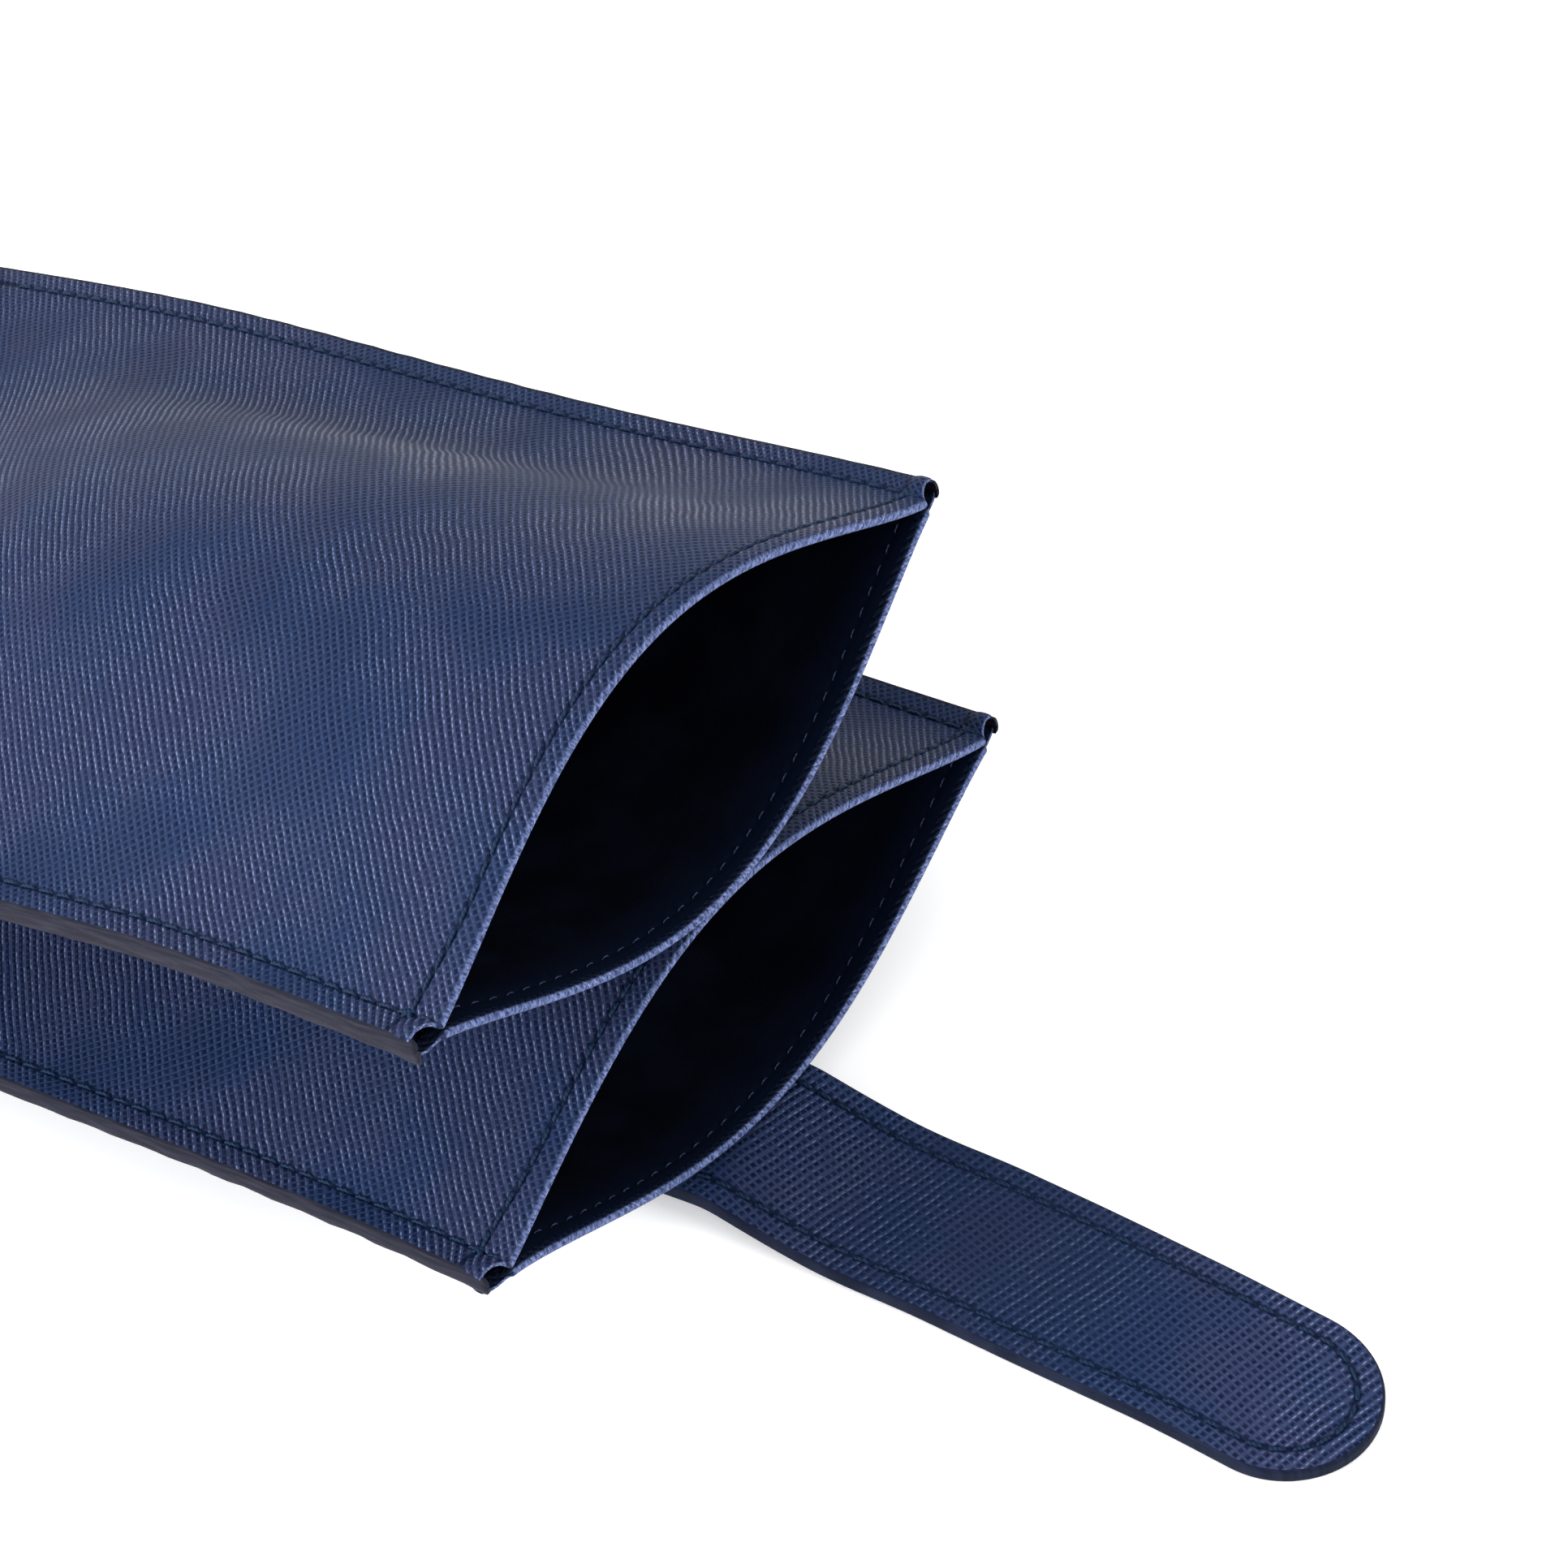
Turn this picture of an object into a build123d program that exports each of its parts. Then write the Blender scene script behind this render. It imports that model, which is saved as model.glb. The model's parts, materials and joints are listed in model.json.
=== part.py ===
from build123d import *
import os
from math import asin, atan, cos, degrees, pi, radians, sin, sqrt

# Two flat lined leather sleeves lie one on the other with both mouths sprung open.
# They share a spine across their closed ends, and a closing strap runs out from under the lower one.
# Origin: on the table, in the middle of the whole footprint. +X points out of the mouths, +Z up.
# Until everything is in place, X = 0 is at the corners of the upper mouth.
# Every sleeve is drawn in its own frame first: X = 0 at the mouth, closed end at -X, seams at Z = 0.

# ---------------------------------------------------------------- driving dimensions, mm
panel_width = 100.0  # flat width of a sleeve panel, edge to edge
sleeve_length = 152.0  # mouth to closed end
belly_length = 139.0  # the panels lie flat together beyond this distance from the mouth
leather = 0.9
lining = 0.3
flange = 3.4  # flat seam allowance along both long edges
stitch_inset = 3.0  # side stitching, in from the cut edge
mouth_inset = 2.8  # mouth stitching, back from the rim
thread = 0.5  # width of a stitch line
thread_proud = 0.25
paint = 0.3  # edge paint on the long cut edges
glue = 0.02  # between two layers laid together
lining_setback = 1.0  # the lining stops this far short of the rim
arch_power = 1.15  # how pointed the mouth is towards its corners

upper = {
    "name": "upper",
    "mouth": (0.0, 57.5),  # X and Z of the mouth's corners
    "tilt": degrees(atan(0.218)),  # mouth end up
    "sag": 0.0003,  # seams drop by sag * distance squared below the tilted line
    "depth_top": 16.9,
    "depth_bottom": 16.7,
    "power_top": 4.0,  # a large power keeps the bulge full far back from the mouth
    "power_bottom": 1.9,
}
lower = {
    "name": "lower",
    "mouth": (4.0, 21.5),
    "tilt": degrees(atan(0.116)),
    "sag": 0.00005,
    "depth_top": 15.6,
    "depth_bottom": 15.5,
    "power_top": 1.9,
    "power_bottom": None,  # this panel rests on the strap instead
}
belly_height = 2.25  # underside of the lower sleeve where it rests on the strap
mouth_lift = 2.8  # its rim is lifted this much further
lift_run = 22.0

tab_depth = 8.0  # part of the spine leather stitched to each closed end
tab_leather = 1.0
tab_gap = 0.08  # between a tab or the end stitching and the sleeve
hinge_gap = 1.0  # bare fold between a tab or a spine edge and its fold line
spine_board = 0.8

strap_width = 22.5
strap_leather = 1.0
strap_root_end = -71.0
strap_tip_end = 82.3
strap_bend = 12.0  # X of the fold next to the mouth
strap_fold = 49.0  # X of the fold half way out
strap_offset = -3.6  # Y of the strap's middle at X = 0
strap_yaw = 1.6  # degrees, the strap lies slightly skew
strap_inset = 3.0
strap_rise = 2.8  # the strap climbs over the lifted rim of the lower mouth
strap_rise_start = -18.0
strap_rise_top = 8.0
strap_rise_end = 30.0

magnet_radius = 6.0
magnet_height = 1.0
keeper_radius = 5.0
keeper_height = 0.3
keeper_back = 55.0  # distance of the keeper from the upper mouth

half_stack = lining + leather  # one panel with its lining
stations = [0, 3, 7, 12, 18, 25, 45, 65, 85, 103, 117, 126, 132, 136, 138, belly_length, 140]
stations += [142, 144, 146, 148, 150, sleeve_length]


# ---------------------------------------------------------------- shape of one sleeve
def seam_line(sleeve, s):
    """Height of the seams in the sleeve's own frame, s back from the mouth."""
    return -sleeve["sag"] * s * s


def depth_at(sleeve, side, s):
    """How far the inside of a panel stands off the seam plane at its middle."""
    if s >= belly_length:
        return 0.0
    key = "top" if side > 0 else "bottom"
    power = sleeve["power_" + key]
    if power is not None:
        return sleeve["depth_" + key] * (1 - (s / belly_length) ** power) ** 1.5
    lift = mouth_lift * (1 - s / lift_run) ** 2 if s < lift_run else 0.0
    tilt = radians(sleeve["tilt"])
    underside = (belly_height + lift - sleeve["mouth"][1] + s * sin(tilt)) / cos(tilt)
    fade = (1 - (s / belly_length) ** 6) ** 1.5
    return (seam_line(sleeve, s) - underside - half_stack) * fade


def flatness_at(sleeve, side, s):
    """A panel lying on something is flatter in the middle and steeper at its sides."""
    if sleeve["power_top" if side > 0 else "power_bottom"] is not None:
        return 1.0
    return 1.0 + 0.9 * sin(pi * min(s / belly_length, 1.0))


def chord_at(sleeve, s):
    """Distance between the seams: the panels keep their flat width as they bulge."""
    rise = (depth_at(sleeve, 1, s) + depth_at(sleeve, -1, s)) / 2 + leather / 2
    if s >= belly_length:
        rise = 0.0
    return (panel_width + sqrt(panel_width**2 - (pi * rise) ** 2)) / 2


def arch_point(sleeve, side, s, t, offset):
    """Point at fraction t across a panel, moved outwards along its normal by offset."""
    chord = chord_at(sleeve, s)
    edge = flange / chord
    depth = depth_at(sleeve, side, s)
    flatness = flatness_at(sleeve, side, s)

    def rise(u):
        v = min(max((u - edge) / (1 - 2 * edge), 0.0), 1.0)
        return depth * (1 - (1 - sin(pi * v) ** arch_power) ** flatness)

    step = 0.002
    slope = (rise(t + step) - rise(t - step)) / (2 * step * chord)
    length = sqrt(1 + slope * slope)
    y = (t - 0.5) * chord - offset * slope / length
    z = seam_line(sleeve, s) + side * (rise(t) + offset / length)
    return Vector(-s, y, z)


def across(sleeve, s, count=12):
    """Fractions across the arch of a panel between its flanges, closer together at its sides."""
    first = flange / chord_at(sleeve, s)
    return [first + (1 - 2 * first) * (0.5 - 0.5 * cos(pi * i / count)) for i in range(count + 1)]


def layer_edges(sleeve, side, s, offset, flanges):
    """One face of a layer in the plane s back from the mouth: flange, arch, flange."""
    arch = [arch_point(sleeve, side, s, t, offset) for t in across(sleeve, s)]
    edges = [Spline(*arch, tangents=[(0, 1, 0), (0, 1, 0)])]
    if flanges:
        first = arch_point(sleeve, side, s, 0, offset)
        last = arch_point(sleeve, side, s, 1, offset)
        edges = [Line(first, arch[0])] + edges + [Line(arch[-1], last)]
    return edges


def layer_section(sleeve, side, s, near, far, flanges):
    """Closed strip between two offsets of a panel, in the plane s back from the mouth."""
    outside = layer_edges(sleeve, side, s, far, flanges)
    inside = layer_edges(sleeve, side, s, near, flanges)
    first_edge = Line(inside[0] @ 0, outside[0] @ 0)
    last_edge = Line(outside[-1] @ 1, inside[-1] @ 1)
    return Face(Wire([first_edge] + outside + [last_edge] + inside))


def layer(sleeve, side, near, far, places, flanges=True, ruled=False):
    """One layer of a panel, lofted through its sections."""
    return loft([layer_section(sleeve, side, s, near, far, flanges) for s in places], ruled=ruled)


def bar(sleeve, y_in, y_out, z_low, z_high, places):
    """Strip that follows a long seam. y is measured in from the cut edge, on the +Y side."""
    faces = []
    for s in places:
        edge = chord_at(sleeve, s) / 2
        base = seam_line(sleeve, s)
        corners = [(edge - y_in, z_low), (edge - y_out, z_low), (edge - y_out, z_high), (edge - y_in, z_high)]
        faces.append(Face(Polyline(*[Vector(-s, y, base + z) for y, z in corners], close=True)))
    return loft(faces)


def sleeve_frame(sleeve):
    x, z = sleeve["mouth"]
    return Pos(x, 0, z) * Rot(0, -sleeve["tilt"], 0)


def end_frame(sleeve):
    """Frame on the seam plane at the closed end, following its local slope."""
    drop = degrees(atan(2 * sleeve["sag"] * (sleeve_length - tab_depth / 2)))
    return sleeve_frame(sleeve) * Pos(-sleeve_length, 0, seam_line(sleeve, sleeve_length)) * Rot(0, -drop, 0)


def fold_line(sleeve, side):
    """Where the spine leather folds at this sleeve, as an X and Z position."""
    height = side * (half_stack + tab_gap + tab_leather / 2)
    place = end_frame(sleeve) * Pos(-1.0 - hinge_gap, 0, height)
    return place.position


def build_sleeve(sleeve, outer_side):
    """Every piece of one sleeve. The spine tab goes on its outer side."""
    name = sleeve["name"]
    frame = sleeve_frame(sleeve)
    made = {}
    inner_places = [lining_setback] + stations[1:]
    for side, face in ((1, "top"), (-1, "bottom")):
        made[f"{name}_{face}_leather"] = layer(sleeve, side, lining, half_stack, stations)
        made[f"{name}_{face}_lining"] = layer(sleeve, side, glue, lining - glue, inner_places)
        rows = [mouth_inset - thread / 2, mouth_inset + thread / 2]
        low, high = half_stack + 0.1, half_stack + 0.1 + thread_proud
        made[f"{name}_{face}_mouth_thread"] = layer(sleeve, side, low, high, rows, False, True)

    painted = bar(sleeve, -glue, -glue - paint, -half_stack, half_stack, stations)
    first, last = mouth_inset + 1.0, sleeve_length - tab_depth - 0.5
    places = [first] + [s for s in stations if first + 1 < s < last - 1] + [last]
    runs = []
    for z in (half_stack + glue, -half_stack - glue - thread_proud):
        y = stitch_inset
        runs.append(bar(sleeve, y - thread / 2, y + thread / 2, z, z + thread_proud, places))
    for hand, word in ((1, "far"), (-1, "near")):
        flip = Plane.XZ if hand < 0 else None
        solids = [run if hand > 0 else run.mirror(flip) for run in runs]
        made[f"{name}_{word}_edge_paint"] = painted if hand > 0 else painted.mirror(flip)
        made[f"{name}_{word}_thread"] = Part(children=solids)

    made = {key: frame * part for key, part in made.items()}

    end = end_frame(sleeve)
    height = outer_side * (half_stack + tab_gap + tab_leather / 2)
    tab = Box(tab_depth, panel_width - 2, tab_leather)
    made[f"{name}_spine_tab"] = end * Pos(tab_depth / 2 - 1.0, 0, height) * tab
    outside = outer_side * (half_stack + tab_gap + tab_leather + thread_proud / 2)
    inside = -outer_side * (half_stack + tab_gap + thread_proud / 2)
    row = Box(thread, panel_width - 2 * stitch_inset, thread_proud)
    made[f"{name}_end_thread"] = Part(children=[end * Pos(stitch_inset, 0, z) * row for z in (outside, inside)])
    return made


# ---------------------------------------------------------------- strap
def strap_height(x):
    """Rise of the strap off the table at a distance x along it."""
    if x <= strap_rise_start or x >= strap_rise_end:
        return 0.0
    if x <= strap_rise_top:
        return strap_rise * ((x - strap_rise_start) / (strap_rise_top - strap_rise_start)) ** 2.2
    u = (x - strap_rise_top) / (strap_rise_end - strap_rise_top)
    return strap_rise * (1 - u * u * (3 - 2 * u))


def strap_layer(start, stop, z_low, z_high, y_low, y_high):
    """Length of strap from start to stop, between two heights in its own thickness."""
    count = round((stop - start) / 4)
    xs = [start + (stop - start) * i / count for i in range(count + 1)]
    under = Spline(*[Vector(x, y_low, strap_height(x) + z_low) for x in xs])
    over = Spline(*[Vector(x, y_low, strap_height(x) + z_high) for x in reversed(xs)])
    side = Face(Wire([under, Line(under @ 1, over @ 0), over, Line(over @ 1, under @ 0)]))
    return extrude(side, amount=y_high - y_low, dir=(0, 1, 0))


def tip_outline(inset, start):
    """Flat outline of the round strap end, moved in from its edge by inset."""
    radius = strap_width / 2 - inset
    centre = strap_tip_end - strap_width / 2
    straight = Pos((start + centre) / 2, 0) * Rectangle(centre - start, 2 * radius)
    return straight + Pos(centre, 0) * Circle(radius)


def build_strap():
    made = {}
    lengths = {
        "root": (strap_root_end, strap_bend - hinge_gap),
        "middle": (strap_bend + hinge_gap, strap_fold - hinge_gap),
    }
    half = strap_width / 2
    total = 2 * strap_leather
    for word, (start, stop) in lengths.items():
        made[f"strap_{word}_under"] = strap_layer(start, stop, 0.0, strap_leather, -half, half)
        made[f"strap_{word}_upper"] = strap_layer(start, stop, strap_leather, total, -half, half)
        if word == "root":
            continue
        rows = []
        for y in (half - strap_inset, strap_inset - half):
            low, high = total + glue, total + glue + thread_proud
            rows.append(strap_layer(start, stop, low, high, y - thread / 2, y + thread / 2))
        made[f"strap_{word}_thread"] = Part(children=rows)

    start = strap_fold + hinge_gap
    outline = tip_outline(0.0, start)
    pocket = Pos(strap_tip_end - half, 0, total / 2 - magnet_height / 2) * Cylinder(
        magnet_radius + 0.05, magnet_height + 0.1, align=(Align.CENTER, Align.CENTER, Align.MIN)
    )
    made["strap_tip_under"] = extrude(outline, amount=strap_leather) - pocket
    made["strap_tip_upper"] = Pos(0, 0, strap_leather) * extrude(outline, amount=strap_leather) - pocket
    made["strap_magnet"] = Pos(strap_tip_end - half, 0, total / 2) * Cylinder(magnet_radius, magnet_height)
    ring = tip_outline(strap_inset - thread / 2, start) - tip_outline(strap_inset + thread / 2, start - 1)
    made["strap_tip_thread"] = Pos(0, 0, total) * extrude(ring, amount=thread_proud)
    return made


# ---------------------------------------------------------------- everything in place
parts = {}
parts.update(build_sleeve(lower, -1))
parts.update(build_sleeve(upper, 1))

# steel keeper for the strap's magnet, let into the back of the upper sleeve's top leather
crown = arch_point(upper, 1, keeper_back, 0.5, lining)
crown_back = arch_point(upper, 1, keeper_back + 1, 0.5, lining)
crown_slope = degrees(asin((crown.Z - crown_back.Z) / (crown - crown_back).length))
keeper_place = sleeve_frame(upper) * Pos(crown.X, 0, crown.Z) * Rot(0, -crown_slope, 0)
keeper = Cylinder(keeper_radius, keeper_height, align=(Align.CENTER, Align.CENTER, Align.MIN))
recess = Cylinder(keeper_radius + 0.1, keeper_height + 2.04, align=(Align.CENTER, Align.CENTER, Align.MIN))
parts["upper_top_leather"] -= keeper_place * Pos(0, 0, -2.0) * recess
parts["magnet_keeper"] = keeper_place * Pos(0, 0, glue) * keeper

# spine wall between the two fold lines
low = fold_line(lower, -1)
high = fold_line(upper, 1)
wall_height = (high - low).length
lean = degrees(asin((high.X - low.X) / wall_height))
spine_place = Pos(low.X, 0, low.Z) * Rot(0, lean, 0)
spine_width = panel_width - 2
clear = wall_height - 2 * hinge_gap
inner_clear = wall_height - 4.0
middle = wall_height / 2
parts["spine_leather"] = spine_place * Pos(0, 0, middle) * Box(tab_leather, spine_width, clear)
board_x = tab_leather / 2 + glue + spine_board / 2
parts["spine_board"] = spine_place * Pos(board_x, 0, middle) * Box(spine_board, spine_width - 4, inner_clear)
facing_x = tab_leather / 2 + spine_board + 2 * glue + lining / 2
parts["spine_lining"] = spine_place * Pos(facing_x, 0, middle) * Box(lining, spine_width - 4, inner_clear)

strap_place = Pos(0, strap_offset, 0) * Rot(0, 0, strap_yaw)
parts.update({key: strap_place * part for key, part in build_strap().items()})

# the origin moves to the middle of the whole footprint, on the table
back = min(part.bounding_box().min.X for part in parts.values())
front = max(part.bounding_box().max.X for part in parts.values())
centred = Pos(-(back + front) / 2, 0, 0)
parts = {name: centred * part for name, part in parts.items()}

bend = strap_place * Pos(strap_bend, 0, strap_height(strap_bend) + strap_leather)
fold = strap_place * Pos(strap_fold, 0, strap_height(strap_fold) + strap_leather)
print("moved by", centred.position.X)
print("spine folds", (centred * Pos(low)).position, (centred * Pos(high)).position)
print("strap folds", (centred * bend).position, (centred * fold).position)

os.makedirs("parts", exist_ok=True)
for name, part in parts.items():
    export_step(part, f"parts/{name}.step")
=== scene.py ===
"""Passport holder: two stacked leather sleeves and their strap, in the part's own frame."""

import json
from math import atan2, cos, log, pi, radians, sin, sqrt

import bmesh
import bpy
import numpy as np
from mathutils import Matrix, Vector


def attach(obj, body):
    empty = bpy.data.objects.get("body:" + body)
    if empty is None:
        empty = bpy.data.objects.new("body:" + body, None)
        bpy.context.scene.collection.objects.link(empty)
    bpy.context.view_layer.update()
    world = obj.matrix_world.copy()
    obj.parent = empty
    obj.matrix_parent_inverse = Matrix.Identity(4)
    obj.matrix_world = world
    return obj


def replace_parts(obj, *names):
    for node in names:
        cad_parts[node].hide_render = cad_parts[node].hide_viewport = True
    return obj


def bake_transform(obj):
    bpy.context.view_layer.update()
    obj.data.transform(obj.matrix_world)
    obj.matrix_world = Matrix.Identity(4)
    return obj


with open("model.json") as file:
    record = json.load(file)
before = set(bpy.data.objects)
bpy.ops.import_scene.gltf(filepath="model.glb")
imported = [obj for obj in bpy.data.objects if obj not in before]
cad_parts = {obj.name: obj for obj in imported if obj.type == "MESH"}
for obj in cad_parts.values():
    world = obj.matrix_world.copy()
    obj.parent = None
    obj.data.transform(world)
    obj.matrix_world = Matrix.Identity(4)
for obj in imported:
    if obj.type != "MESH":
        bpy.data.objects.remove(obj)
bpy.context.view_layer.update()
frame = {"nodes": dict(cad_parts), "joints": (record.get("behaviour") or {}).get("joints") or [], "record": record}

# Shapes are worked out in millimetres and scaled to metres when their meshes are made.
MM = 0.001
ACROSS = np.array([0.0, 1.0, 0.0])
UP = np.array([0.0, 0.0, 1.0])
MOUNTS = {m["name"]: m for m in frame["record"]["mounts"]}
JOINTS = {j["name"]: j for j in frame["joints"]}
FACES = ((1, "top"), (-1, "bottom"))
SIDES = ((-1, "near"), (1, "far"))

# ---------------------------------------------------------------- dimensions, mm
PANEL_WIDTH = 100.0
SLEEVE_LENGTH = 152.0
BELLY_LENGTH = 139.0  # from the mouth to where a sleeve's two panels meet
LEATHER = 0.9
LINING = 0.3
HALF_STACK = LEATHER + LINING  # half of a sleeve where it lies flat
FLANGE = 3.4  # flat seam allowance along each side
ARCH_POWER = 1.15  # how pointed the mouths are towards their corners
RIM_RADIUS = 0.58  # the leather is turned over along each mouth
CORNER_RETREAT = 1.25  # the ends of the seam allowances stand back from the mouth
LINING_START = 1.1  # the lining, back from the rim
LINING_END = 138.9
BELLY_HEIGHT = 2.25  # underside of the lower sleeve where it rests on the strap
MOUTH_LIFT = 2.8  # its rim is lifted this much further
LIFT_RUN = 22.0

MOUTH_INSET = 2.8  # mouth stitching, back from the rim
SIDE_INSET = 3.0  # side stitching, in from the cut edge
PITCH = 2.55  # stitch length
THREAD = 0.52
INNER_THREAD = 0.18  # as much of it as shows on the lining
HOLE_DIP = 0.42  # how deep a stitch goes in at its two holes
NO_SEAM = (50, 50)  # a place in the seam map that is far from every seam and rim
GROOVE_DEPTH = 0.16  # a seam presses the leather in
GROOVE_WIDTH = 0.34

EDGE_HEIGHT = 1.17  # half the height of a painted edge
EDGE_NOSE = 0.42  # rounding at its front end
EDGE_GRAIN = 1.2  # length of its streaked grain for one radian round it

SPINE_HALF_WIDTH = 49
SPINE_THICK = 1.0
SPINE_TAB = 6.0  # how far the spine leather runs on along each sleeve

STRAP_WIDTH = 22.5
STRAP_THICK = 2.0
STRAP_ROUND = 0.55  # rounding of its cut edges
STRAP_INSET = 3.0
STRAP_START = -71.0  # the strap's own X, 0 under the corners of the upper mouth
STRAP_SPLIT = 30.5  # between its two folds
STRAP_END = 82.6
STRAP_RISE = 2.8  # it climbs this far over the lifted rim of the lower mouth
STRAP_CLIMB = (-18.0, 8.0)
STRAP_SLOPE = (6.0, 26.0)  # and comes down to the table
STRAP_BOW = 0.6
STRAP_GRAIN = 60.0  # where the strap starts in the grain, away from the sleeves
STRAP_TAPER = 0.036
STRAP_OFFSET = -3.6
STRAP_YAW = radians(1.6)


def smooth(x, low, high):
    """0 below low, 1 above high, with an even ramp between them."""
    u = np.clip((np.asarray(x, float) - low) / (high - low), 0, 1)
    return u * u * (3 - 2 * u)


def unit(v):
    return v / np.maximum(np.linalg.norm(v, axis=-1, keepdims=True), 1e-12)


def groove(distance, depth=GROOVE_DEPTH, width=GROOVE_WIDTH):
    """Depth of the groove that a row of stitches pulls in, at a distance from the row."""
    return depth * np.exp(-((distance / width) ** 2))


# ---------------------------------------------------------------- sleeves
def corner_retreat(inset):
    """The ends of the seam allowances are cut back a little from the line of the mouth."""
    return CORNER_RETREAT * (1 - smooth(inset, 0.2, 3.6))


def rim_radius(inset):
    """Half the thickness of the turned rim: the leather is pared thin where the seam closes."""
    return RIM_RADIUS - 0.34 * (1 - smooth(inset, 2.0, 3.6))


def mouth_seam(t):
    """Distance of the mouth stitching from the rim: it drifts back towards the -Y corner."""
    return MOUTH_INSET + 1.25 * (1 - smooth(t, 0.03, 0.16))


class Sleeve:
    """One flat leather tube, closed at the back, with its mouth sprung open.

    sag      curve of the whole sleeve along its length
    depths   how far the top and bottom panel stand off the seams at the mouth
    powers   how late each comes back to them; None is the panel that rests on the strap
    skews    how far the crest of each is shifted across
    slump    drop of the top and bottom together near the far side
    dent     depth of the hollow along the top panel
    corners  how far the near and the far corner of the mouth are drawn, along and across
    """

    def __init__(self, name, sag, depths, powers, skews, slump, dent, corners):
        mount = MOUNTS[name + "_pocket"]
        self.name = name
        self.body = name + "_sleeve"
        self.origin = np.array(mount["pos_m"]) / MM
        self.out = np.array(mount["axis"])
        self.up = np.array([-self.out[2], 0.0, self.out[0]])
        self.sag = sag
        self.depths = depths
        self.powers = powers
        self.skews = skews
        self.slump = slump
        self.dent = dent
        self.corners = corners

    def depth(self, side, s):
        """How far the middle of a panel stands off the seams."""
        x = np.clip(s / BELLY_LENGTH, 0, 1)
        which = 0 if side > 0 else 1
        power = self.powers[which]
        if power is not None:
            return self.depths[which] * (1 - x**power) ** 1.5
        lift = MOUTH_LIFT * np.clip(1 - s / LIFT_RUN, 0, None) ** 2
        underside = (BELLY_HEIGHT + lift - self.origin[2] + s * self.out[2]) / self.out[0]
        return (-self.sag * s * s - underside - HALF_STACK) * (1 - x**6) ** 1.5

    def chord(self, s):
        """Straight width of the sleeve, which narrows as its panels bulge."""
        rise = (self.depth(1, s) + self.depth(-1, s)) / 2 + LEATHER / 2 * (s < BELLY_LENGTH)
        return (PANEL_WIDTH + np.sqrt(PANEL_WIDTH**2 - (pi * rise) ** 2)) / 2

    def end_angle(self):
        """Slope of the sleeve at its closed end, in the XZ plane."""
        drop = 2 * self.sag * (SLEEVE_LENGTH - 4)
        return atan2(self.out[2], self.out[0]) + drop

    def height(self, side, s, t, chord):
        """Height of a panel over the line of the seams."""
        which = 0 if side > 0 else 1
        edge = FLANGE / chord
        v = np.clip((t - edge) / (1 - 2 * edge), 0, 1)
        skew = self.skews[which] * (1 - 0.6 * smooth(s, 0, 60))
        v = v ** (log(0.5) / np.log(0.5 + skew))
        if self.powers[which] is None:  # flat-bottomed where it rests on the strap
            flatness = 1 + 0.9 * np.sin(pi * np.clip(s / BELLY_LENGTH, 0, 1))
            power = ARCH_POWER
        else:
            flatness = 1.0
            power = ARCH_POWER + 0.3 * smooth(s, 0, 80)
        arch = 1 - (1 - np.sin(pi * v) ** power) ** flatness
        # The turned rim keeps the two panels a little apart beside the seams.
        inset = np.minimum(t, 1 - t) * chord
        near_mouth = np.exp(-((np.clip(s, 0, None) / 2.6) ** 2))
        gape = 0.6 * near_mouth * smooth(inset, 0.1, 1.2) * (1 - smooth(inset, 1.5, 3.2))
        hollow = self.dent * np.exp(-(((v - 0.86) / 0.07) ** 2)) * smooth(s, 6, 45)
        hollow = hollow * (side > 0) * (1 - smooth(s, 85, 125))
        z = -self.sag * s * s + side * (self.depth(side, s) * arch + gape - hollow)
        return z - self.slump * smooth(t, 0.72, 1) * np.sin(pi * np.clip(s / 120, 0, 1)) ** 2

    def base(self, side, s, t):
        """Inside face of a panel, s back from the mouth and t of the way across."""
        chord = self.chord(s)
        z = self.height(side, s, t, chord)
        inset = np.minimum(t, 1 - t) * chord
        (near_x, near_y), (far_x, far_y) = self.corners
        pulled = 1 - smooth(s, 0, 45)
        y = (t - 0.5) * chord + pulled * (near_y * (1 - t) ** 2 + far_y * t**2)
        along = -(s + corner_retreat(inset) * (1 - smooth(s, 0, 8)))
        along = along + pulled * (near_x * (1 - t) ** 4 + far_x * t**4)
        forward = along[..., None] * self.out
        return self.origin + forward + y[..., None] * ACROSS + z[..., None] * self.up

    def surface(self, side, s, t, offset):
        """Point and outward direction on a panel, moved outwards by offset."""
        s, t, offset = np.broadcast_arrays(
            np.asarray(s, float), np.asarray(t, float), np.asarray(offset, float)
        )
        step_t, step_s = 0.0015, 0.1
        across = self.base(side, s, t + step_t) - self.base(side, s, t - step_t)
        along = self.base(side, s + step_s, t) - self.base(side, s - step_s, t)
        normal = side * unit(np.cross(across, along))
        point = self.base(side, s, t)
        return point + normal * offset[..., None], normal


UPPER = Sleeve(
    "upper",
    sag=0.0003,
    depths=(16.9, 16.7),
    powers=(4.0, 1.9),
    skews=(-0.021, -0.006),
    slump=1.0,
    dent=2.2,
    corners=((-0.5, -2.1), (-0.9, 0.4)),
)
LOWER = Sleeve(
    "lower",
    sag=0.00005,
    depths=(15.6, None),
    powers=(1.9, None),
    skews=(-0.031, 0.020),
    slump=0.0,
    dent=0.0,
    corners=((0.0, -0.7), (0.8, 1.75)),
)


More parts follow.
